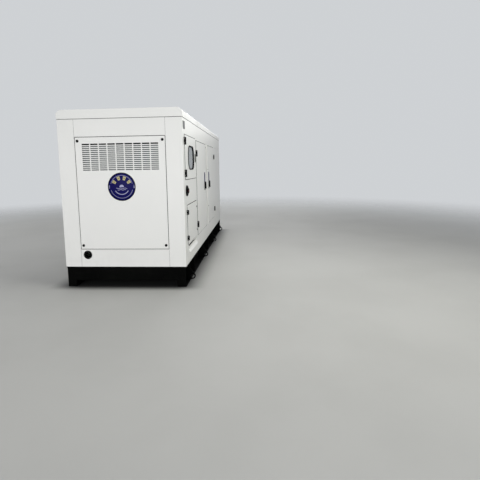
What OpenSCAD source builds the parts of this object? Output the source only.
// Generating set in a soundproof steel canopy on a skid.
// The control end wall faces -Y and the control side is +X. Sizes are in millimetres, with the floor at Z 0.
// Places along a side are distances from the front end wall; places across a wall are depths from its face.

/* [Overall] */
// Width over the side walls
body_w = 1400; // [1300:10:1600]
// Length over the end walls
body_l = 4000; // [3800:10:4400]
// Height of the roof over the floor
total_h = 2000; // [1940:10:2200]
// Height of the skid under the walls
base_h = 235; // [200:5:280]
// Thickness of the folded sheet
sheet = 3; // [2:0.5:4]

/* [Skid] */
// Distance of the rails inside the side walls
rail_inset = 4; // [0:1:30]
// Width of the rail channel
rail_w = 104; // [80:2:120]
// Wall of the rail channel
rail_wall = 8; // [5:1:12]
// Thickness of the end plates
end_plate_t = 8; // [5:1:12]
// Distance of the end plates inside the end walls
end_plate_inset = 5; // [0:1:10]
// Distance of the end plates' edges inside the side walls
end_plate_side = 26; // [10:2:60]
// Clear height under the middle of an end plate
end_gap = 75; // [40:5:120]
// Width of an end plate's foot
foot_w = 82; // [60:2:110]
// Radius of a foot's outer corner
foot_r = 15; // [8:1:25]
// Thickness of the stiffeners in the rails
stiffener_t = 8; // [5:1:12]
// Distance of the outer stiffeners from the end walls
stiffener_end = 610; // [450:10:900]
// Number of stiffeners in each rail
stiffener_count = 3; // [2:1:5]
// Thickness of the deck's rim
deck_rim = 12; // [8:1:20]
// Thickness of the deck's floor
deck_floor = 4; // [3:1:8]
// Width of the deck's rim
deck_rim_w = 107; // [80:1:140]
// Number of cross members
cross_count = 5; // [3:1:7]
// Distance of the outer cross members from the end walls
cross_end = 300; // [200:10:500]
// Height of a cross member
cross_h = 100; // [60:5:130]
// Width of a cross member
cross_w = 60; // [40:5:100]
// Wall of a cross member
cross_wall = 6; // [4:1:10]

/* [Lifting lugs] */
// Number of lugs on each side
lug_count = 4; // [2:1:6]
// Distance of the first lug from the end wall
lug_end = 250; // [150:10:500]
// Thickness of a lug plate
lug_t = 12; // [8:1:20]
// Diameter of the shackle hole
lug_hole_d = 45; // [30:1:50]
// Radius of the lug's nose
lug_r = 38; // [34:1:45]
// How far the nose stands out of the lug's straight sides
lug_step = 4; // [3:0.5:6]
// Height of the shackle hole
lug_z = 60; // [50:1:80]
// Distance of the shackle hole outside the rail
lug_out = 29; // [24:1:50]
// Distance of the lug's upper slope under the deck
lug_drop = 58; // [40:2:90]

/* [Walls] */
// Width of a corner post on the end wall
post_end_w = 188; // [120:2:240]
// Width of a corner post on the side wall
post_side_w = 100; // [80:2:140]
// Height of the roof over the walls
roof_h = 100; // [80:5:160]
// Width of the roof's bevel
bevel_w = 40; // [20:2:60]
// Height of the roof's bevel
bevel_h = 36; // [20:2:50]
// Overhang of the roof past the walls
roof_over = 3; // [0:1:10]
// Height of the sills over the skid
sill_h = 202; // [180:1:240]
// Height of the headers under the roof
header_h = 196; // [170:1:240]
// Depth of the rebate that doors and panels sit in
rebate = 45; // [40:1:60]
// Width of the stop behind a door or panel
stop_w = 25; // [15:1:30]
// Depth of the folded edges along the roof and deck
fold = 30; // [20:1:40]

/* [Bays] */
// Rear edge of the control bay
bay_a_end = 850; // [800:2:900]
// Width of the post behind the control bay
post_w = 46; // [40:1:60]
// Rear edge of the double door's opening
bay_b_end = 2904; // [2700:2:3000]
// Width of the centre post of the double door
mullion_w = 45; // [36:1:60]
// How far the centre post stands proud
mullion_proud = 6; // [0:1:10]
// Place of the first roof joint
roof_joint_1 = 1110; // [900:10:1400]
// Place of the second roof joint
roof_joint_2 = 2690; // [2400:10:3000]
// Width of a roof joint strip
strip_w = 40; // [20:2:80]

/* [Doors] */
// Gap round a door
door_gap = 7; // [6:0.5:10]
// Depth of a door leaf
door_t = 33; // [25:1:36]
// How far a door stands proud of the wall
door_proud = 4; // [0:1:8]
// Height of the header over the control door
control_header_h = 178; // [150:1:220]
// Height of the control door's opening
control_open_h = 513; // [460:1:540]
// Front edge of the output door's opening
output_front = 150; // [140:1:200]
// Rear edge of the output door's opening
output_rear = 838; // [780:1:840]
// Distance of the output door's opening over the sills
output_rise = 13; // [10:1:40]
// Distance of the output door's opening under the control door's opening
output_drop = 287; // [230:1:330]
// Diameter of the output door's locks
lock_d = 22; // [16:1:26]
// Distance of the output door's locks from its upper and lower edge
lock_in = 76; // [50:1:90]
// Distance of the locks from the output door's rear edge
lock_side = 20; // [14:1:30]
// Depth of the back of the control cabinet
cabinet_d = 420; // [340:5:460]
// Wall of the control cabinet
cabinet_wall = 2; // [1.5:0.5:3]
// Distance of the cabinet's floor under the control door's opening
cabinet_floor_drop = 20; // [10:2:40]
// Distance of the cabinet's sides from the edges of the bay
cabinet_side = 10; // [6:1:20]
// Height of the output breaker
breaker_h = 260; // [180:5:280]
// Width of the output breaker
breaker_w = 210; // [140:5:240]
// Depth of the output breaker
breaker_d = 150; // [100:5:180]
// Distance of the breaker under the top of the output door's opening
breaker_drop = 30; // [10:5:60]

/* [Window] */
// Middle of the window from the front end wall
window_s = 488; // [460:1:510]
// Width of the glass
window_w = 380; // [300:2:420]
// Height of the glass
window_h = 270; // [200:2:300]
// Corner radius of the glass
window_r = 95; // [40:1:110]
// Width of the rubber round the glass
rubber_w = 15; // [10:1:20]

/* [Hinges] */
// Height of a hinge
hinge_h = 82; // [60:2:110]
// Width of one hinge leaf
hinge_leaf = 30; // [24:1:36]
// Thickness of a hinge leaf
hinge_t = 5; // [4:0.5:6]
// Radius of the knuckle
knuckle_r = 8; // [7:0.5:8]
// Radius of the hinge pin
pin_r = 4.5; // [3:0.5:5]
// Clearance round the pin
pin_gap = 0.3; // [0.2:0.1:0.5]
// Distance of a large door's lower hinges from its lower edge
big_hinge_low = 103; // [60:1:200]
// Distance of a large door's upper hinges from its upper edge
big_hinge_high = 122; // [60:1:200]
// Distance of the control door's hinges from its edges
control_hinge_in = 28; // [20:1:60]
// Height of a hinge on the output door
output_hinge_h = 52; // [40:2:70]
// Distance of the output door's hinges from its edges
output_hinge_in = 53; // [30:1:70]

/* [Handles] */
// Height of a large handle's plate
handle_h = 272; // [240:2:320]
// Width of a large handle's plate
handle_w = 60; // [54:1:80]
// Height of the small latch's plate
latch_h = 104; // [90:2:130]
// Width of the small latch's plate
latch_w = 40; // [38:1:50]
// Distance of a large handle from the centre post's middle
handle_off = 250; // [180:2:320]
// Distance of a large handle's middle over the middle of the door
handle_rise = 68.5; // [0:0.5:120]
// Distance of the small latch's middle from the control door's edge
latch_in = 55; // [45:1:70]
// Gap round a lever in its tub
lever_gap = 6; // [5:0.5:8]

/* [Emergency stop] */
// Distance of the stop's middle from the corner post
stop_side = 63; // [50:1:90]
// Distance of the stop's middle under the control door's opening
stop_drop = 124; // [80:1:150]
// Radius of the stop's dish
stop_r = 62; // [40:1:68]
// Height of the dish's rim
stop_rim = 12; // [8:1:16]
// Radius of the button's head
stop_head_r = 20; // [16:1:28]

/* [End panels] */
// Gap round a bolted end panel
panel_gap = 6; // [3:0.5:8]
// Number of slot columns
slot_cols = 9; // [3:1:11]
// Number of slot rows
slot_rows = 14; // [4:1:16]
// Width of a slot
slot_w = 84; // [50:1:86]
// Height of a slot
slot_h = 11; // [6:0.5:14]
// Distance between slot columns
slot_pitch_x = 97; // [90:1:100]
// Distance between slot rows
slot_pitch_z = 21.5; // [18:0.5:24]
// Distance of the top slots under the headers
slot_drop = 81; // [60:1:100]
// Diameter of a panel knob
knob_d = 31; // [18:1:34]
// Distance of the knobs from the panel's edge
knob_edge = 28; // [24:1:40]
// Distance of the knobs from the panel's upper and lower edge
knob_in = 40; // [24:1:60]
// Distance of the cable hole from the corner
cable_x = 265; // [230:5:400]
// Height of the cable hole over the skid
cable_rise = 139; // [80:1:150]
// Bore of the cable grommet
cable_d = 64; // [50:1:70]

/* [Air inlet] */
// Height of the header over the inlet frame
inlet_header_h = 100; // [60:2:140]
// Width of the frame round the inlet blades
inlet_border = 38; // [30:1:60]
// Distance between blades
blade_pitch = 43; // [36:1:50]
// Depth of a blade
blade_d = 36; // [28:1:38]
// Thickness of a blade
blade_t = 2.5; // [2:0.5:4]

/* [Cable outlet] */
// Front edge of the cable outlet
outlet_front = 200; // [160:5:300]
// Rear edge of the cable outlet
outlet_rear = 780; // [600:5:800]
// Distance of the outlet's lower edge under the top of the sills
outlet_drop = 52; // [40:1:70]
// Depth of the sloping lip in the outlet
lip_run = 30; // [20:1:40]
// Height of the lip's inner edge over its outer edge
lip_rise = 12; // [0:1:20]

/* [Machinery] */
// Height of the crankshaft over the skid
shaft_rise = 525; // [500:5:600]
// Distance of the alternator's front end from the front end wall
alternator_front = 560; // [500:10:640]
// Length of the alternator
alternator_l = 640; // [560:10:720]
// Radius of the alternator's frame
alternator_r = 250; // [220:5:260]
// Length of the engine
engine_l = 1180; // [1000:10:1240]
// Width of the crankcase
engine_w = 420; // [380:10:440]
// Height of the cylinder head's joint over the crankshaft
head_rise = 320; // [280:5:360]
// Number of cylinders
cylinders = 6; // [4:1:6]
// Distance of the machinery beams from the middle
beam_x = 230; // [220:5:255]
// Width of a machinery beam
beam_w = 70; // [60:5:80]
// Height of a machinery beam
beam_h = 100; // [80:5:120]
// Wall of a machinery beam
beam_wall = 8; // [5:1:10]
// Height of a rubber mount
mount_h = 40; // [30:2:60]
// Radius of a rubber mount
mount_r = 32; // [26:1:34]
// Height of the fan's axis over the crankshaft
fan_rise = 90; // [0:10:120]
// Radius of the fan
fan_r = 330; // [280:10:360]
// Number of fan blades
fan_blades = 8; // [5:1:10]
// Height of the radiator's core
core_h = 1000; // [900:10:1010]
// Width of the radiator
radiator_w = 860; // [760:10:880]
// Depth of the radiator
radiator_d = 90; // [60:5:120]
// Radius of the silencer
silencer_r = 130; // [100:5:150]
// Length of the silencer
silencer_l = 1000; // [800:10:1100]
// Height of the silencer's axis over the crankshaft
silencer_rise = 860; // [820:10:900]
// Radius of the air cleaner
cleaner_r = 115; // [90:5:125]
// Length of the air cleaner
cleaner_l = 420; // [340:10:460]

/* [Hidden] */
$fn = 48;

wall_top = total_h - roof_h;
sill_top = base_h + sill_h;
head_z = wall_top - header_h;
deck_z = base_h - deck_rim;
post_rebate = rebate + sheet;
bay_b_start = bay_a_end + post_w;
bay_c_start = bay_b_end + post_w;
bay_c_end = body_l - post_side_w;
mullion_s = (bay_b_start + bay_b_end) / 2;
end_half = body_w / 2 - post_end_w;
seat_gap = 0.3;
control_head_z = wall_top - control_header_h;
control_foot_z = control_head_z - control_open_h;
output_foot_z = sill_top + output_rise;
output_head_z = control_foot_z - output_drop;
outlet_foot_z = sill_top - outlet_drop;
outlet_head_z = output_foot_z - sheet;
inlet_head_z = wall_top - inlet_header_h;
slot_top = head_z - slot_drop;
cable_z = base_h + cable_rise;

// Hinge axes: outside the wall, in the middle of the gap beside the door
axis_d = -(hinge_t + knuckle_r + 1);
door_z = [sill_top + door_gap, head_z - door_gap];
front_leaf = [bay_b_start + door_gap, mullion_s - mullion_w / 2 - door_gap];
rear_leaf = [mullion_s + mullion_w / 2 + door_gap, bay_b_end - door_gap];
control_leaf = [post_side_w + door_gap, bay_a_end - door_gap];
control_z = [control_foot_z + door_gap, control_head_z - door_gap];
output_leaf = [output_front + door_gap, output_rear - door_gap];
output_z = [output_foot_z + door_gap, output_head_z - door_gap];
front_leaf_axis = bay_b_start + door_gap / 2;
rear_leaf_axis = bay_b_end - door_gap / 2;
control_axis = post_side_w + door_gap / 2;
output_axis = output_front + door_gap / 2;
big_hinge_z = [door_z[0] + big_hinge_low, door_z[1] - big_hinge_high - hinge_h];
control_hinge_z = [control_z[0] + control_hinge_in, control_z[1] - control_hinge_in - hinge_h];
output_hinge_z = [output_z[0] + output_hinge_in, output_z[1] - output_hinge_in - output_hinge_h];
window_z = (control_z[0] + control_z[1]) / 2;
latch_s = control_leaf[1] - latch_in;
latch_top = window_z + latch_h / 2;
handle_top = (door_z[0] + door_z[1]) / 2 + handle_rise + handle_h / 2;
stop_s = post_side_w + stop_side;
stop_z = control_foot_z - stop_drop;
stop_neck_r = 30;
stop_stem_r = 12;
stop_gap = 0.5;
// The control cabinet is screwed to the back of the stops beside the control door
cabinet_low = [post_rebate, post_side_w + cabinet_side, output_foot_z - cabinet_side];
cabinet_high = [cabinet_d, bay_a_end - cabinet_side, control_head_z - stop_w + 5];

// Machinery, along its shaft from the front: alternator, engine, fan and radiator
floor_z = deck_z + deck_floor;
beam_z = [floor_z + mount_h, floor_z + mount_h + beam_h];
beam_in = beam_x - beam_w / 2;
beam_out = beam_x + beam_w / 2;
shaft_z = base_h + shaft_rise;
engine_front = alternator_front + alternator_l;
engine_end = engine_front + engine_l;
flange_t = 30;
flange_r = alternator_r + 20;
housing_l = 150;
cover_l = 60;
fan_s = engine_end + cover_l + 40;
fan_l = 70;
fan_z = shaft_z + fan_rise;
hub_r = 70;
shroud_r = fan_r + 15;
shroud_t = 8;
core_s = fan_s + fan_l + 60;
tank_h = 95;
head_half = 125;
head_h = 90;
manifold_x = -220;
manifold_z = shaft_z + head_rise + 60;
turbine_s = engine_front + 650;
compressor_s = turbine_s + 84;
turbo_z = manifold_z + 60;
silencer_z = shaft_z + silencer_rise;
tail_run = 560;
manifold_in = 90;
hanger_in = 180;
silencer_s = turbine_s - 200;
cleaner_x = 200;
cleaner_s = engine_front + 240;
cleaner_z = shaft_z + head_rise + head_h + cleaner_r + 45;

white = [0.93, 0.93, 0.91];
black = [0.04, 0.04, 0.045];
grey = [0.55, 0.57, 0.58];
red = [0.65, 0.04, 0.03];
glass = [0.55, 0.6, 0.62, 0.5];
steel = [0.62, 0.61, 0.58];
engine_grey = [0.2, 0.24, 0.24];

// Depth inwards, distance from the front and height, on the right or left side wall
module on_right() { translate([body_w / 2, -body_l / 2, 0]) mirror([1, 0, 0]) children(); }
module on_left() { translate([-body_w / 2, -body_l / 2, 0]) children(); }
// Place across, depth inwards and height, on the front or rear end wall
module on_front() { translate([0, -body_l / 2, 0]) children(); }
module on_rear() { translate([0, body_l / 2, 0]) mirror([0, 1, 0]) children(); }

// A flat outline of depth and height, run from one place to another along Y or X
module along_y(from, to) { translate([0, to, 0]) rotate([90, 0, 0]) linear_extrude(to - from) children(); }
module along_x(from, to) { translate([from, 0, 0]) rotate([90, 0, 90]) linear_extrude(to - from) children(); }

module block(low, high) { translate(low) cube(high - low); }

// A folded pan: a face with its edges turned inwards
module pan(low, high, wall) {
    difference() {
        block(low, high);
        block([low[0] + wall, low[1] + wall, low[2] + wall], [high[0] + 1, high[1] - wall, high[2] - wall]);
    }
}

module rounded(w, h, r) {
    square([w - 2 * r, h], center = true);
    square([w, h - 2 * r], center = true);
    for (i = [-1, 1], j = [-1, 1]) translate([i * (w / 2 - r), j * (h / 2 - r)]) circle(r);
}

// Skid

module rail_outline() {
    tip = rail_inset;
    web = rail_inset + rail_w;
    polygon([
        [tip, 0], [web, 0], [web, deck_z], [tip, deck_z], [tip, deck_z - rail_wall],
        [web - rail_wall, deck_z - rail_wall], [web - rail_wall, rail_wall], [tip, rail_wall]
    ]);
}

// A stiffener stands between the flanges, a little inside their edges
module rail() {
    inset = end_plate_inset + end_plate_t;
    web = rail_inset + rail_w;
    step = (body_l - 2 * stiffener_end) / (stiffener_count - 1);
    along_y(inset, body_l - inset) rail_outline();
    for (i = [0 : stiffener_count - 1]) {
        s = stiffener_end + i * step;
        block([rail_inset + 4, s - stiffener_t / 2, 1], [web - 1, s + stiffener_t / 2, deck_z - 1]);
    }
}

module base_rails() {
    color(black) {
        on_right() rail();
        on_left() rail();
    }
}

module end_plate() {
    tip = body_w / 2 - end_plate_side;
    foot = tip - foot_w;
    bend = tip - foot_r;
    along_y(end_plate_inset, end_plate_inset + end_plate_t) {
        polygon([
            [-tip, foot_r], [-bend, foot_r], [-bend, 0], [-foot, 0], [-foot, end_gap], [foot, end_gap], [foot, 0],
            [bend, 0], [bend, foot_r], [tip, foot_r], [tip, deck_z], [-tip, deck_z]
        ]);
        for (x = [-bend, bend]) translate([x, foot_r]) circle(foot_r);
    }
}

module base_end_plates() {
    color(black) {
        on_front() end_plate();
        on_rear() end_plate();
    }
}

module base_cross_members() {
    half = body_w / 2 - rail_inset - rail_w;
    step = (body_l - 2 * cross_end) / (cross_count - 1);
    inner = cross_w - 2 * cross_wall;
    color(black) on_front() for (i = [0 : cross_count - 1])
        translate([0, cross_end + i * step, deck_z - cross_h]) along_x(-half, half) difference() {
            translate([-cross_w / 2, 0]) square([cross_w, cross_h]);
            translate([-inner / 2, -1]) square([inner, cross_h - cross_wall + 1]);
        }
}

module base_deck() {
    edge = 3;
    inner = [body_w - 2 * deck_rim_w, body_l - 2 * deck_rim_w, deck_rim];
    color(black) difference() {
        translate([edge - body_w / 2, edge - body_l / 2, deck_z])
            cube([body_w - 2 * edge, body_l - 2 * edge, deck_rim]);
        translate([-inner[0] / 2, -inner[1] / 2, deck_z + deck_floor]) cube(inner);
    }
}

// The point where a line from p touches a circle; turn is 1 or -1 for the side it passes
function touch(p, c, r, turn) =
    let (v = p - c, a = atan2(v[1], v[0]) + turn * acos(r / norm(v)))
    c + r * [cos(a), sin(a)];

module lug() {
    tip = rail_inset;
    web = rail_inset + rail_w - rail_wall;
    nose = [tip - lug_out, lug_z];
    shoulder = [tip, deck_z - lug_drop];
    heel = [tip, rail_wall];
    difference() {
        union() {
            polygon([
                [web, rail_wall], [web, deck_z - rail_wall], [tip, deck_z - rail_wall], shoulder,
                touch(shoulder, nose, lug_r - lug_step, 1), touch(heel, nose, lug_r - lug_step, -1), heel
            ]);
            translate(nose) circle(lug_r);
        }
        translate(nose) circle(lug_hole_d / 2);
    }
}

module lifting_lugs() {
    step = (body_l - 2 * lug_end) / (lug_count - 1);
    color(black) for (i = [0 : lug_count - 1]) {
        s = lug_end + i * step;
        on_right() along_y(s - lug_t / 2, s + lug_t / 2) lug();
        on_left() along_y(s - lug_t / 2, s + lug_t / 2) lug();
    }
}

// Walls

// Header outline: face, folded top, rebate and stop, from the opening's top to the roof
module header_outline(foot) {
    polygon([
        [0, foot], [rebate - sheet, foot], [rebate - sheet, foot - stop_w], [rebate, foot - stop_w],
        [rebate, foot + sheet], [sheet, foot + sheet], [sheet, wall_top - sheet], [fold, wall_top - sheet],
        [fold, wall_top], [0, wall_top]
    ]);
}

module sill_outline() {
    polygon([
        [0, base_h], [fold, base_h], [fold, base_h + sheet], [sheet, base_h + sheet], [sheet, sill_top - sheet],
        [rebate, sill_top - sheet], [rebate, sill_top + stop_w], [rebate - sheet, sill_top + stop_w],
        [rebate - sheet, sill_top], [0, sill_top]
    ]);
}

// Corner post, seen from above: x runs along the end wall and y along the side wall, from the corner
module corner_outline() {
    inner = post_rebate - sheet;
    polygon([
        [0, 0], [post_end_w, 0], [post_end_w, inner], [post_end_w + stop_w, inner],
        [post_end_w + stop_w, post_rebate], [post_end_w - sheet, post_rebate], [post_end_w - sheet, sheet],
        [sheet, sheet], [sheet, post_side_w - sheet], [post_rebate, post_side_w - sheet],
        [post_rebate, post_side_w + stop_w], [inner, post_side_w + stop_w], [inner, post_side_w], [0, post_side_w]
    ]);
}

module corner_posts() {
    color(white) for (i = [0, 1], j = [0, 1]) mirror([i, 0, 0]) mirror([0, j, 0])
        translate([-body_w / 2, -body_l / 2, base_h]) linear_extrude(wall_top - base_h) corner_outline();
}

module end_headers() {
    color(white) {
        on_front() along_x(-end_half, end_half) header_outline(head_z);
        on_rear() along_x(-end_half, end_half) header_outline(head_z);
    }
}

module end_sills() {
    color(white) {
        on_front() difference() {
            along_x(-end_half, end_half) sill_outline();
            translate([cable_x - body_w / 2, -1, cable_z]) rotate([-90, 0, 0])
                cylinder(r = cable_d / 2 + 5, h = sheet + 2);
        }
        on_rear() along_x(-end_half, end_half) sill_outline();
    }
}

// A bolted panel with rows of air slots
module slotted_panel() {
    x = end_half - panel_gap;
    z0 = sill_top + panel_gap;
    z1 = head_z - panel_gap;
    first_x = -(slot_cols - 1) / 2 * slot_pitch_x;
    difference() {
        block([-x, 0, z0], [x, rebate - sheet, z1]);
        block([sheet - x, sheet, z0 + sheet], [x - sheet, rebate, z1 - sheet]);
        for (i = [0 : slot_cols - 1], j = [0 : slot_rows - 1])
            translate([first_x + i * slot_pitch_x - slot_w / 2, -1, slot_top - slot_h - j * slot_pitch_z])
                cube([slot_w, sheet + 2, slot_h]);
    }
}

module front_panel() { color(white) on_front() slotted_panel(); }
module rear_panel() { color(white) on_rear() slotted_panel(); }

// Low round knobs on the face of an end panel
module end_knobs() {
    x = end_half - panel_gap - knob_edge;
    z0 = sill_top + panel_gap + knob_in;
    z1 = head_z - panel_gap - knob_in;
    for (i = [-x, x], z = [z0, z1]) translate([i, 0, z]) rotate([90, 0, 0]) {
        cylinder(d = knob_d, h = 5);
        translate([0, 0, 5]) cylinder(d1 = knob_d, d2 = knob_d - 6, h = 3);
    }
}

module panel_knobs() {
    color(black) {
        on_front() end_knobs();
        on_rear() end_knobs();
    }
}

// A sheet behind the slots that turns the air upwards; it leaves the top row open
module air_baffle() {
    x = end_half - panel_gap - sheet - 2;
    top = slot_top - slot_h - 5;
    foot = slot_top - slot_rows * slot_pitch_z - 20;
    lip = rebate - sheet;
    along_x(-x, x) polygon([
        [sheet, foot], [lip, foot + lip], [lip, top], [lip - sheet, top], [lip - sheet, foot + lip + 1.3],
        [sheet, foot + 4.3]
    ]);
}

module air_baffles() {
    color(white) {
        on_front() air_baffle();
        on_rear() air_baffle();
    }
}

module cable_grommet() {
    hole = cable_d / 2 + 5;
    lip = 4;
    color(black) on_front() translate([cable_x - body_w / 2, 0, cable_z]) rotate([-90, 0, 0]) rotate_extrude() polygon([
        [cable_d / 2, -lip], [hole + 3, -lip], [hole + 3, 0], [hole, 0], [hole, sheet], [hole + 3, sheet],
        [hole + 3, sheet + lip], [cable_d / 2, sheet + lip]
    ]);
}

module side_headers() {
    color(white) {
        on_right() along_y(post_side_w, bay_a_end - seat_gap) header_outline(control_head_z);
        on_right() along_y(bay_a_end, bay_c_end) header_outline(head_z);
        on_left() along_y(post_side_w, bay_a_end - seat_gap) header_outline(inlet_head_z);
        on_left() along_y(bay_a_end, bay_c_end) header_outline(head_z);
    }
}

module right_sill() {
    color(white) on_right() difference() {
        along_y(post_side_w, bay_c_end) sill_outline();
        block([-1, outlet_front, outlet_foot_z], [rebate + 1, outlet_rear, sill_top + stop_w + 1]);
    }
}

module left_sill() { color(white) on_left() along_y(post_side_w, bay_c_end) sill_outline(); }

// Sloping lip along the lower edge of the cable outlet, with a folded inner edge
module cable_tray() {
    z = outlet_foot_z - 2;
    back = sheet + lip_run;
    color(white) on_right() along_y(outlet_front + 1, outlet_rear - 1) polygon([
        [sheet, z - 18], [2 * sheet, z - 18], [2 * sheet, z - sheet], [back - sheet, z - sheet + lip_rise],
        [back - sheet, z - 18], [back, z - 18], [back, z + lip_rise], [sheet, z]
    ]);
}

// Hat-shaped post between two openings, seen from above, with its face from one place to another
module hat_outline(from, to, proud) {
    inner = post_rebate - sheet;
    polygon([
        [-proud, from], [-proud, to], [inner, to], [inner, to + stop_w], [post_rebate, to + stop_w],
        [post_rebate, to - sheet], [sheet - proud, to - sheet], [sheet - proud, from + sheet],
        [post_rebate, from + sheet], [post_rebate, from - stop_w], [inner, from - stop_w], [inner, from]
    ]);
}

module hat_post(from, to, proud) {
    notch = [rebate - sheet - 0.5, from - stop_w - 1];
    notch_end = [post_rebate + 1, to + stop_w + 1];
    difference() {
        translate([0, 0, sill_top]) linear_extrude(head_z - sill_top) hat_outline(from, to, proud);
        block([notch[0], notch[1], sill_top - 1], [notch_end[0], notch_end[1], sill_top + stop_w]);
        block([notch[0], notch[1], head_z - stop_w], [notch_end[0], notch_end[1], head_z + 1]);
    }
}

module side_posts() {
    half = mullion_w / 2;
    hat_post(bay_a_end, bay_b_start, 0);
    hat_post(mullion_s - half, mullion_s + half, mullion_proud);
    hat_post(bay_b_end, bay_c_start, 0);
}

module door_posts() {
    color(white) {
        on_right() side_posts();
        on_left() side_posts();
    }
}

module rear_side_panels() {
    gap = 2;
    low = [0, bay_c_start + gap, sill_top + gap];
    high = [rebate - sheet, bay_c_end - gap, head_z - gap];
    color(white) {
        on_right() pan(low, high, sheet);
        on_left() pan(low, high, sheet);
    }
}

// Fixed panel between the control door and the sill, with the output door's opening
module control_bay_panel() {
    inner = rebate - sheet;
    foot = sill_top;
    color(white) on_right() difference() {
        union() {
            along_y(post_side_w, bay_a_end) polygon([
                [0, foot], [0, control_foot_z], [inner, control_foot_z], [inner, control_foot_z + stop_w],
                [rebate, control_foot_z + stop_w], [rebate, control_foot_z - sheet], [sheet, control_foot_z - sheet],
                [sheet, foot]
            ]);
            block([0, output_front - sheet, output_foot_z - sheet],
                [inner, output_rear + sheet, output_head_z + sheet]);
        }
        block([-1, output_front, output_foot_z], [rebate, output_rear, output_head_z]);
        block([-1, outlet_front, sill_top - 1], [rebate, outlet_rear, outlet_head_z]);
        translate([-1, stop_s, stop_z]) rotate([0, 90, 0]) cylinder(r = stop_neck_r + 1, h = sheet + 2);
    }
}

// Left air inlet: a frame with sloping blades
module inlet_frame() {
    low = [0, post_side_w, sill_top];
    high = [rebate - sheet, bay_a_end, inlet_head_z];
    b = inlet_border;
    color(white) on_left() difference() {
        pan(low, high, sheet);
        block([-1, low[1] + b, low[2] + b], [sheet + 1, high[1] - b, high[2] - b]);
    }
}

module inlet_blades() {
    foot = sill_top + inlet_border;
    count = floor((inlet_head_z - inlet_border - foot) / blade_pitch);
    spare = inlet_head_z - inlet_border - foot - count * blade_pitch;
    color(white) on_left() {
        for (i = [0 : count - 1]) translate([0, 0, foot + spare / 2 + i * blade_pitch])
            along_y(post_side_w + sheet, bay_a_end - sheet) polygon([
                [sheet, 0], [sheet + blade_d, blade_d], [sheet + blade_d, blade_d + blade_t * sqrt(2)],
                [sheet, blade_t * sqrt(2)]
            ]);
    }
}

// Roof

// Roof outline across the width, grown by a distance
module roof_outline(grow) {
    half = body_w / 2 + roof_over + grow;
    top = total_h + grow;
    polygon([
        [-half, wall_top], [half, wall_top], [half, top - bevel_h], [half - bevel_w, top], [bevel_w - half, top],
        [-half, top - bevel_h]
    ]);
}

module roof_shell(from, to) {
    rotate([90, 0, 0]) mirror([0, 0, 1]) translate([0, 0, from - body_l / 2]) linear_extrude(to - from) children();
}

module roof_section(from, to) {
    inner = body_w / 2 - 20;
    roof_shell(from, to) difference() {
        roof_outline(0);
        difference() {
            roof_outline(-sheet);
            square([2 * body_w, 2 * (wall_top + sheet)], center = true);
        }
        translate([-inner, wall_top - 1]) square([2 * inner, sheet + 2]);
    }
}

module roof_front() {
    color(white) {
        roof_section(0, roof_joint_1);
        roof_shell(-roof_over, 0) roof_outline(0);
    }
}
module roof_middle() { color(white) roof_section(roof_joint_1, roof_joint_2); }
module roof_rear() {
    color(white) {
        roof_section(roof_joint_2, body_l);
        roof_shell(body_l, body_l + roof_over) roof_outline(0);
    }
}

module roof_joint_strips() {
    color(white) for (s = [roof_joint_1, roof_joint_2]) roof_shell(s - strip_w / 2, s + strip_w / 2) difference() {
        roof_outline(sheet);
        roof_outline(0);
    }
}

// Control and output compartments behind the right front bay

module control_cabinet() {
    floor_z = control_foot_z - cabinet_floor_drop;
    inner_low = [cabinet_low[0] - 1, cabinet_low[1] + cabinet_wall, cabinet_low[2] - 1];
    inner_high = cabinet_high - [cabinet_wall, cabinet_wall, cabinet_wall];
    color(white) on_right() difference() {
        block(cabinet_low, cabinet_high);
        block([inner_low[0], inner_low[1], floor_z + cabinet_wall], inner_high);
        block(inner_low, [inner_high[0], inner_high[1], floor_z]);
    }
}

module control_panel() {
    front = post_rebate + 30;
    s0 = cabinet_low[1] + cabinet_wall;
    s1 = cabinet_high[1] - cabinet_wall;
    z0 = control_foot_z - cabinet_floor_drop + cabinet_wall;
    z1 = cabinet_high[2] - cabinet_wall;
    color(grey) on_right() {
        block([front, s0, z0], [front + 3, s1, z1]);
        block([front - 18, window_s - 120, window_z - 75], [front, window_s + 120, window_z + 75]);
        for (i = [0 : 3]) translate([front, window_s - 105 + i * 70, window_z - 150]) rotate([0, -90, 0])
            cylinder(r = 15, h = 14);
    }
}

module output_breaker() {
    back = cabinet_high[0] - cabinet_wall;
    front = back - breaker_d;
    half = breaker_w / 2;
    s = (output_front + output_rear) / 2;
    z = output_head_z - breaker_drop - breaker_h;
    bar = breaker_w / 7;
    color(grey) on_right() {
        block([front + 40, s - half, z], [back, s + half, z + breaker_h]);
        block([front, s - half, z + breaker_h / 4], [front + 41, s + half, z + breaker_h * 3 / 4]);
        block([front - 25, s - bar / 2, z + breaker_h / 2 - bar], [front, s + bar / 2, z + breaker_h / 2 + bar]);
        for (i = [-3 : 2 : 3])
            block([back - 80, s + (i - 0.5) * bar, z - breaker_h / 3], [back - 70, s + (i + 0.5) * bar, z + 1]);
    }
}

module stop_housing() {
    bore = stop_stem_r + stop_gap;
    color(black) on_right() translate([0, stop_s, stop_z]) rotate([0, -90, 0]) rotate_extrude() polygon([
        [bore, -30], [stop_neck_r, -30], [stop_neck_r, 0], [stop_r, 0], [stop_r - 2, stop_rim],
        [stop_r - 10, stop_rim], [stop_r - 16, 4], [bore, 4]
    ]);
}

module stop_button() {
    color(red) on_right() translate([0, stop_s, stop_z]) rotate([0, -90, 0]) {
        translate([0, 0, -16]) cylinder(r = stop_stem_r, h = stop_rim + 16);
        translate([0, 0, stop_rim - 4]) cylinder(r = stop_head_r, h = 9);
        translate([0, 0, stop_rim + 5]) cylinder(r1 = stop_head_r, r2 = stop_head_r - 5, h = 4);
    }
}

// Machinery

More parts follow.
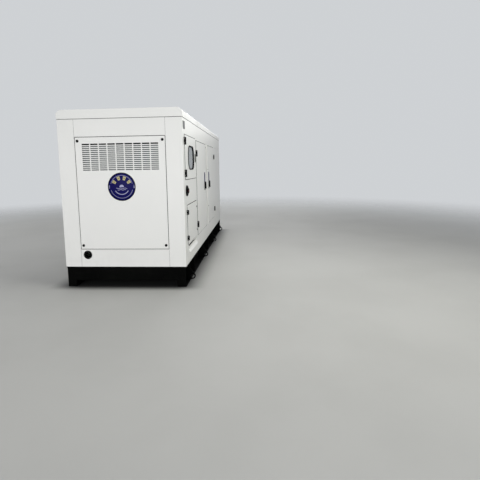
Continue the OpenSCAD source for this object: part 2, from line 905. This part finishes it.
// A round form on an axis along Y: x is the radius and y the distance from a place towards the rear
module turned(x, s, z) { translate([x, s, z]) rotate([-90, 0, 0]) rotate_extrude() children(); }

module beam_outline() {
    polygon([
        [beam_in, beam_z[0]], [beam_out, beam_z[0]], [beam_out, beam_z[0] + beam_wall],
        [beam_in + beam_wall, beam_z[0] + beam_wall], [beam_in + beam_wall, beam_z[1] - beam_wall],
        [beam_out, beam_z[1] - beam_wall], [beam_out, beam_z[1]], [beam_in, beam_z[1]]
    ]);
}

module engine_beams() {
    from = alternator_front - 60;
    to = engine_end + cover_l;
    tie = 60;
    color(black) on_front() {
        for (i = [0, 1]) mirror([i, 0, 0]) along_y(from, to) beam_outline();
        for (s = [from, (from + to - tie) / 2, to - tie])
            block([-beam_in - 1, s, beam_z[0] + 20], [beam_in + 1, s + tie, beam_z[1] - 20]);
    }
}

module rubber_mounts() {
    from = alternator_front + 120;
    step = (engine_end - 120 - from) / 3;
    waist = mount_r - 7;
    color(black) on_front() for (i = [0 : 3], x = [-beam_x, beam_x]) translate([x, from + i * step, floor_z])
        rotate_extrude() polygon([
            [0, 0], [mount_r, 0], [mount_r, 6], [waist, 10], [waist, mount_h - 10], [mount_r, mount_h - 6],
            [mount_r, mount_h], [0, mount_h]
        ]);
}

// Alternator: a round frame with a stepped end bell, feet on the beams and a terminal box
module alternator() {
    r = alternator_r;
    l = alternator_l;
    foot_top = shaft_z - 60;
    box_z = shaft_z + r - 45;
    color(engine_grey) on_front() {
        turned(0, alternator_front, shaft_z) polygon([
            [0, 0], [r - 100, 0], [r - 90, 14], [r - 22, 30], [r - 10, 50], [r - 10, 110], [r, 120], [r, l - 130],
            [r - 10, l - 120], [r - 10, l - flange_t], [flange_r, l - flange_t], [flange_r, l], [0, l]
        ]);
        for (i = [0, 1]) mirror([i, 0, 0]) along_y(alternator_front + 90, engine_front - 110) polygon([
            [beam_in, beam_z[1]], [beam_out, beam_z[1]], [beam_out, beam_z[1] + 16], [r - 16, foot_top],
            [r - 70, foot_top], [beam_in, beam_z[1] + 40]
        ]);
        along_y(alternator_front + 120, engine_front - 120) polygon([
            [-190, box_z], [190, box_z], [190, box_z + 190], [165, box_z + 215], [-165, box_z + 215],
            [-190, box_z + 190]
        ]);
    }
}

// Engine: flywheel housing, crankcase with its sump, cylinder head with a cover over each cylinder, feet
module crankcase_outline() {
    half = engine_w / 2;
    polygon([
        [-120, -330], [120, -330], [150, -300], [150, -150], [half, -120], [half, 60], [half - 30, 90],
        [half - 50, head_rise], [50 - half, head_rise], [30 - half, 90], [-half, 60], [-half, -120],
        [-150, -150], [-150, -300]
    ]);
}

module engine() {
    r = flange_r;
    half = engine_w / 2;
    head_z1 = head_rise + head_h;
    body_s = engine_front + housing_l - 10;
    pitch = (engine_end - body_s) / cylinders;
    color(engine_grey) on_front() {
        turned(0, engine_front, shaft_z) polygon([
            [0, 0], [r, 0], [r, flange_t], [r - 25, flange_t], [r - 45, housing_l], [0, housing_l]
        ]);
        translate([0, 0, shaft_z]) {
            along_y(body_s, engine_end) crankcase_outline();
            along_y(engine_end - 1, engine_end + cover_l) polygon([
                [-110, -150], [110, -150], [150, -90], [150, 120], [90, 220], [-90, 220], [-150, 120], [-150, -90]
            ]);
            along_y(body_s + 20, engine_end - 20) polygon([
                [-head_half, head_rise - 1], [head_half, head_rise - 1], [head_half, head_z1], [-head_half, head_z1]
            ]);
            for (i = [0 : cylinders - 1]) along_y(body_s + 28 + i * pitch, body_s + (i + 1) * pitch - 28) polygon([
                [-90, head_z1 - 1], [90, head_z1 - 1], [90, head_z1 + 45], [62, head_z1 + 75], [-62, head_z1 + 75],
                [-90, head_z1 + 45]
            ]);
            for (s = [engine_front + 260, engine_end - 200], i = [0, 1]) mirror([i, 0, 0]) along_y(s, s + 110)
                polygon([
                    [half - 20, -110], [half - 20, -40], [beam_out, beam_z[1] + 16 - shaft_z],
                    [beam_out, beam_z[1] - shaft_z], [beam_in, beam_z[1] - shaft_z],
                    [beam_in, beam_z[1] + 16 - shaft_z]
                ]);
        }
        turned(0, engine_end + cover_l - 1, fan_z) square([34, fan_s - engine_end - cover_l + 1]);
        turned(0, engine_end + cover_l - 1, shaft_z) polygon([
            [0, 0], [95, 0], [95, 10], [86, 18], [95, 26], [95, 34], [40, 36], [0, 36]
        ]);
    }
}

// Exhaust: manifold with a stub at each cylinder, turbocharger, riser, silencer on two hangers, tail pipe
module exhaust() {
    body_s = engine_front + housing_l - 10;
    pitch = (engine_end - body_s) / cylinders;
    run = engine_end - body_s - manifold_in;
    tail = silencer_l + tail_run;
    color(steel) on_front() {
        turned(manifold_x, body_s + 40, manifold_z) square([38, run]);
        for (i = [0 : cylinders - 1]) translate([manifold_x, body_s + (i + 0.5) * pitch, manifold_z]) rotate([0, 90, 0])
            cylinder(r = 27, h = -manifold_x - head_half);
        turned(manifold_x, turbine_s - 40, turbo_z) polygon([
            [0, 0], [46, 0], [72, 16], [72, 50], [40, 66], [34, 70], [34, 92], [40, 96], [66, 110], [66, 138],
            [30, 146], [0, 146]
        ]);
        translate([manifold_x, turbine_s - 10, manifold_z]) cylinder(r = 40, h = turbo_z - manifold_z);
        translate([manifold_x, turbine_s - 10, turbo_z]) cylinder(r = 44, h = silencer_z - turbo_z);
        translate([manifold_x, compressor_s, turbo_z]) cylinder(r = 42, h = 90);
        turned(manifold_x, silencer_s, silencer_z) polygon([
            [0, 0], [50, 0], [silencer_r - 16, 12], [silencer_r, 30], [silencer_r, silencer_l - 30],
            [silencer_r - 16, silencer_l - 12], [46, silencer_l], [46, tail], [0, tail]
        ]);
        for (s = [silencer_s + hanger_in, silencer_s + silencer_l - hanger_in]) {
            turned(manifold_x, s, silencer_z) square([silencer_r + 5, 40]);
            block([manifold_x - 30, s + 16, silencer_z + silencer_r],
                [manifold_x + 30, s + 24, total_h - sheet]);
        }
    }
}

// Air cleaner: canister on two brackets over the cylinder head, with its pipe to the turbocharger
module air_cleaner() {
    head_z1 = shaft_z + head_rise + head_h;
    pipe_r = 36;
    color(black) on_front() {
        turned(cleaner_x, cleaner_s, cleaner_z) polygon([
            [0, 0], [cleaner_r - 20, 0], [cleaner_r, 16], [cleaner_r, 60], [cleaner_r + 4, 64], [cleaner_r + 4, 74],
            [cleaner_r, 78], [cleaner_r, cleaner_l - 30], [pipe_r, cleaner_l], [pipe_r, compressor_s - cleaner_s],
            [0, compressor_s - cleaner_s]
        ]);
        for (x = [cleaner_x, manifold_x]) translate([x, compressor_s, cleaner_z]) sphere(r = pipe_r + 3);
        translate([manifold_x, compressor_s, cleaner_z]) rotate([0, 90, 0])
            cylinder(r = pipe_r, h = cleaner_x - manifold_x);
        translate([manifold_x, compressor_s, turbo_z + 90]) cylinder(r = pipe_r, h = cleaner_z - turbo_z - 90);
        for (s = [cleaner_s + 100, cleaner_s + cleaner_l - 110]) along_y(s, s + 10) polygon([
            [head_half - 30, head_z1], [head_half, head_z1], [cleaner_x + 30, cleaner_z - cleaner_r + 12],
            [cleaner_x - 40, cleaner_z - cleaner_r + 50], [head_half - 30, head_z1 + 14]
        ]);
    }
}

module cooling_fan() {
    chord = 150;
    root = hub_r - 8;
    color(black) on_front() translate([0, fan_s, fan_z]) {
        turned(0, 0, 0) polygon([[0, 0], [hub_r, 0], [hub_r, fan_l - 10], [hub_r - 12, fan_l], [0, fan_l]]);
        intersection() {
            turned(0, 0, 0) square([fan_r, fan_l]);
            for (i = [0 : fan_blades - 1]) rotate([0, i * 360 / fan_blades, 0]) translate([0, fan_l / 2, root])
                linear_extrude(fan_r) rotate(24) square([chord, 4], center = true);
        }
    }
}

// Radiator: core between two tanks, side channels down to the deck, and the shroud with its ring
module radiator() {
    half = radiator_w / 2;
    side = 40;
    core_z = [fan_z - core_h / 2, fan_z + core_h / 2];
    back = core_s + radiator_d;
    color(black) on_front() {
        block([side - half - 1, core_s + 10, core_z[0] - 1], [half - side + 1, back - 10, core_z[1] + 1]);
        for (i = [0, 1]) mirror([i, 0, 0]) difference() {
            block([half - side, core_s, floor_z], [half, back, core_z[1] + tank_h]);
            block([half - side + 5, core_s + 6, floor_z - 1], [half + 1, back - 6, core_z[1] + tank_h - 6]);
        }
        along_x(side - half - 1, half - side + 1) polygon([
            [core_s, core_z[1]], [back, core_z[1]], [back, core_z[1] + tank_h - 20], [back - 20, core_z[1] + tank_h],
            [core_s + 20, core_z[1] + tank_h], [core_s, core_z[1] + tank_h - 20]
        ]);
        along_x(side - half - 1, half - side + 1) polygon([
            [core_s, core_z[0]], [back, core_z[0]], [back, core_z[0] - tank_h + 20], [back - 20, core_z[0] - tank_h],
            [core_s + 20, core_z[0] - tank_h], [core_s, core_z[0] - tank_h + 20]
        ]);
        difference() {
            block([-half, core_s - sheet, core_z[0] - 15], [half, core_s + 1, core_z[1] + 15]);
            turned(0, core_s - 2 * sheet, fan_z) square([shroud_r + shroud_t / 2, 3 * sheet]);
        }
        turned(0, fan_s, fan_z) translate([shroud_r, 0]) square([shroud_t, core_s - 1 - fan_s]);
        translate([140, core_s + radiator_d / 2, core_z[1] + tank_h - 1]) cylinder(r = 34, h = 26);
    }
}

// Hinges: the fixed half holds the middle knuckle and the pin, the moving half the outer knuckles

module hinge_base(axis, z, turn, h = hinge_h) {
    third = h / 3;
    translate([0, axis, z]) scale([1, turn, 1]) {
        block([-hinge_t, -hinge_leaf, 0], [0, -door_gap / 2, h]);
        block([axis_d, -knuckle_r, third + 0.5], [0, -door_gap / 2, 2 * third - 0.5]);
        translate([axis_d, 0, third + 0.5]) cylinder(r = knuckle_r, h = third - 1);
        translate([axis_d, 0, 0]) cylinder(r = pin_r, h = h);
    }
}

module hinge_leaf(axis, z, turn, h = hinge_h) {
    third = h / 3;
    face = -door_proud;
    translate([0, axis, z]) scale([1, turn, 1]) difference() {
        union() {
            block([face - hinge_t, knuckle_r + 4, 0], [face, hinge_leaf, h]);
            for (k = [0, 2 * third]) {
                block([axis_d, door_gap / 2, k], [face, knuckle_r + 5, k + third]);
                translate([axis_d, 0, k]) cylinder(r = knuckle_r, h = third);
            }
        }
        translate([axis_d, 0, -1]) cylinder(r = pin_r + pin_gap, h = h + 2);
    }
}

module hinge_bases() {
    color(black) {
        on_right() {
            for (z = control_hinge_z) hinge_base(control_axis, z, 1);
            for (z = output_hinge_z) hinge_base(output_axis, z, 1, output_hinge_h);
        }
        for (z = big_hinge_z) {
            on_right() hinge_base(front_leaf_axis, z, 1);
            on_right() hinge_base(rear_leaf_axis, z, -1);
            on_left() hinge_base(front_leaf_axis, z, 1);
            on_left() hinge_base(rear_leaf_axis, z, -1);
        }
    }
}

// Handles: a plate with a tub behind it, a pin across the tub, and a lever that lifts out

handle_wall = 3;
function tub_low(s, top, h, w) = [-door_proud - 4, s - w / 2 + 5, top - h + 8];
function tub_high(s, top, h, w) = [16, s + w / 2 - 5, top - 8];

module handle_cut(s, top, h, w) {
    block(tub_low(s, top, h, w) - [5, 0.3, 0.3], tub_high(s, top, h, w) + [5, 0.3, 0.3]);
}

module handle_plate(s, top, h, w) {
    low = tub_low(s, top, h, w);
    high = tub_high(s, top, h, w);
    difference() {
        union() {
            block([low[0], s - w / 2, top - h], [-door_proud, s + w / 2, top]);
            block(low, high);
        }
        block([low[0] - 1, low[1] + handle_wall, low[2] + handle_wall],
            [high[0] - handle_wall, high[1] - handle_wall, high[2] - handle_wall]);
    }
    translate([0, low[1] + 1, high[2] - 20]) rotate([-90, 0, 0]) cylinder(r = 3, h = w - 12);
}

module handle_lever(s, top, h, w) {
    low = tub_low(s, top, h, w);
    high = tub_high(s, top, h, w);
    gap = handle_wall + lever_gap;
    difference() {
        union() {
            block([-door_proud - 8, low[1] + gap, low[2] + gap], [4, high[1] - gap, high[2] - 20]);
            translate([0, low[1] + gap, high[2] - 20]) rotate([-90, 0, 0])
                cylinder(r = 8, h = high[1] - low[1] - 2 * gap);
        }
        translate([0, low[1], high[2] - 20]) rotate([-90, 0, 0]) cylinder(r = 3 + pin_gap, h = w);
    }
}

// Doors

module door_leaf(leaf, z) {
    pan([-door_proud, leaf[0], z[0]], [door_t - door_proud, leaf[1], z[1]], sheet);
}

module front_leaf_door() {
    difference() {
        door_leaf(front_leaf, door_z);
        handle_cut(mullion_s - handle_off, handle_top, handle_h, handle_w);
    }
}
module front_leaf_fittings() {
    for (z = big_hinge_z) hinge_leaf(front_leaf_axis, z, 1);
    handle_plate(mullion_s - handle_off, handle_top, handle_h, handle_w);
}
module front_leaf_lever() { handle_lever(mullion_s - handle_off, handle_top, handle_h, handle_w); }

module rear_leaf_door() {
    difference() {
        door_leaf(rear_leaf, door_z);
        handle_cut(mullion_s + handle_off, handle_top, handle_h, handle_w);
    }
}
module rear_leaf_fittings() {
    for (z = big_hinge_z) hinge_leaf(rear_leaf_axis, z, -1);
    handle_plate(mullion_s + handle_off, handle_top, handle_h, handle_w);
}
module rear_leaf_lever() { handle_lever(mullion_s + handle_off, handle_top, handle_h, handle_w); }

module right_front_door() { color(white) on_right() front_leaf_door(); }
module right_front_door_fittings() { color(black) on_right() front_leaf_fittings(); }
module right_front_handle() { color(black) on_right() front_leaf_lever(); }
module right_rear_door() { color(white) on_right() rear_leaf_door(); }
module right_rear_door_fittings() { color(black) on_right() rear_leaf_fittings(); }
module right_rear_handle() { color(black) on_right() rear_leaf_lever(); }
module left_front_door() { color(white) on_left() front_leaf_door(); }
module left_front_door_fittings() { color(black) on_left() front_leaf_fittings(); }
module left_front_handle() { color(black) on_left() front_leaf_lever(); }
module left_rear_door() { color(white) on_left() rear_leaf_door(); }
module left_rear_door_fittings() { color(black) on_left() rear_leaf_fittings(); }
module left_rear_handle() { color(black) on_left() rear_leaf_lever(); }

// An outline laid on the face of the right wall, with its width along the wall and its height up
module on_face(s, z, depth, thick) {
    translate([depth, s, z]) rotate([90, 0, 90]) linear_extrude(thick) children();
}

module control_door() {
    color(white) on_right() difference() {
        door_leaf(control_leaf, control_z);
        on_face(window_s, window_z, -door_proud - 1, sheet + 2) rounded(window_w, window_h, window_r);
        handle_cut(latch_s, latch_top, latch_h, latch_w);
    }
}

module control_window() {
    glass_t = 5;
    color(glass) on_right() on_face(window_s, window_z, sheet - door_proud + seat_gap, glass_t)
        rounded(window_w + 10, window_h + 10, window_r + 5);
}

module window_rubber() {
    lip = 6;
    color(black) on_right() {
        on_face(window_s, window_z, -door_proud - lip, lip) difference() {
            rounded(window_w + rubber_w, window_h + rubber_w, window_r + rubber_w / 2);
            rounded(window_w - rubber_w, window_h - rubber_w, window_r - rubber_w / 2);
        }
        on_face(window_s, window_z, -door_proud, sheet) difference() {
            rounded(window_w - 0.6, window_h - 0.6, window_r - 0.3);
            rounded(window_w - rubber_w, window_h - rubber_w, window_r - rubber_w / 2);
        }
    }
}

module control_door_fittings() {
    color(black) on_right() {
        for (z = control_hinge_z) hinge_leaf(control_axis, z, 1);
        handle_plate(latch_s, latch_top, latch_h, latch_w);
    }
}

module control_latch() { color(black) on_right() handle_lever(latch_s, latch_top, latch_h, latch_w); }

module output_door() { color(white) on_right() door_leaf(output_leaf, output_z); }

module output_door_fittings() {
    color(black) on_right() {
        for (z = output_hinge_z) hinge_leaf(output_axis, z, 1, output_hinge_h);
        for (z = [output_z[0] + lock_in, output_z[1] - lock_in])
            translate([-door_proud, output_leaf[1] - lock_side, z]) rotate([0, -90, 0]) cylinder(d = lock_d, h = 5);
    }
}

base_rails();
base_end_plates();
base_cross_members();
base_deck();
lifting_lugs();
corner_posts();
end_headers();
end_sills();
front_panel();
rear_panel();
panel_knobs();
air_baffles();
cable_grommet();
side_headers();
right_sill();
left_sill();
door_posts();
rear_side_panels();
control_bay_panel();
inlet_frame();
inlet_blades();
cable_tray();
roof_front();
roof_middle();
roof_rear();
roof_joint_strips();
control_cabinet();
control_panel();
output_breaker();
stop_housing();
stop_button();
hinge_bases();
engine_beams();
rubber_mounts();
alternator();
engine();
exhaust();
air_cleaner();
cooling_fan();
radiator();
control_door();
control_window();
window_rubber();
control_door_fittings();
control_latch();
output_door();
output_door_fittings();
right_front_door();
right_front_door_fittings();
right_front_handle();
right_rear_door();
right_rear_door_fittings();
right_rear_handle();
left_front_door();
left_front_door_fittings();
left_front_handle();
left_rear_door();
left_rear_door_fittings();
left_rear_handle();
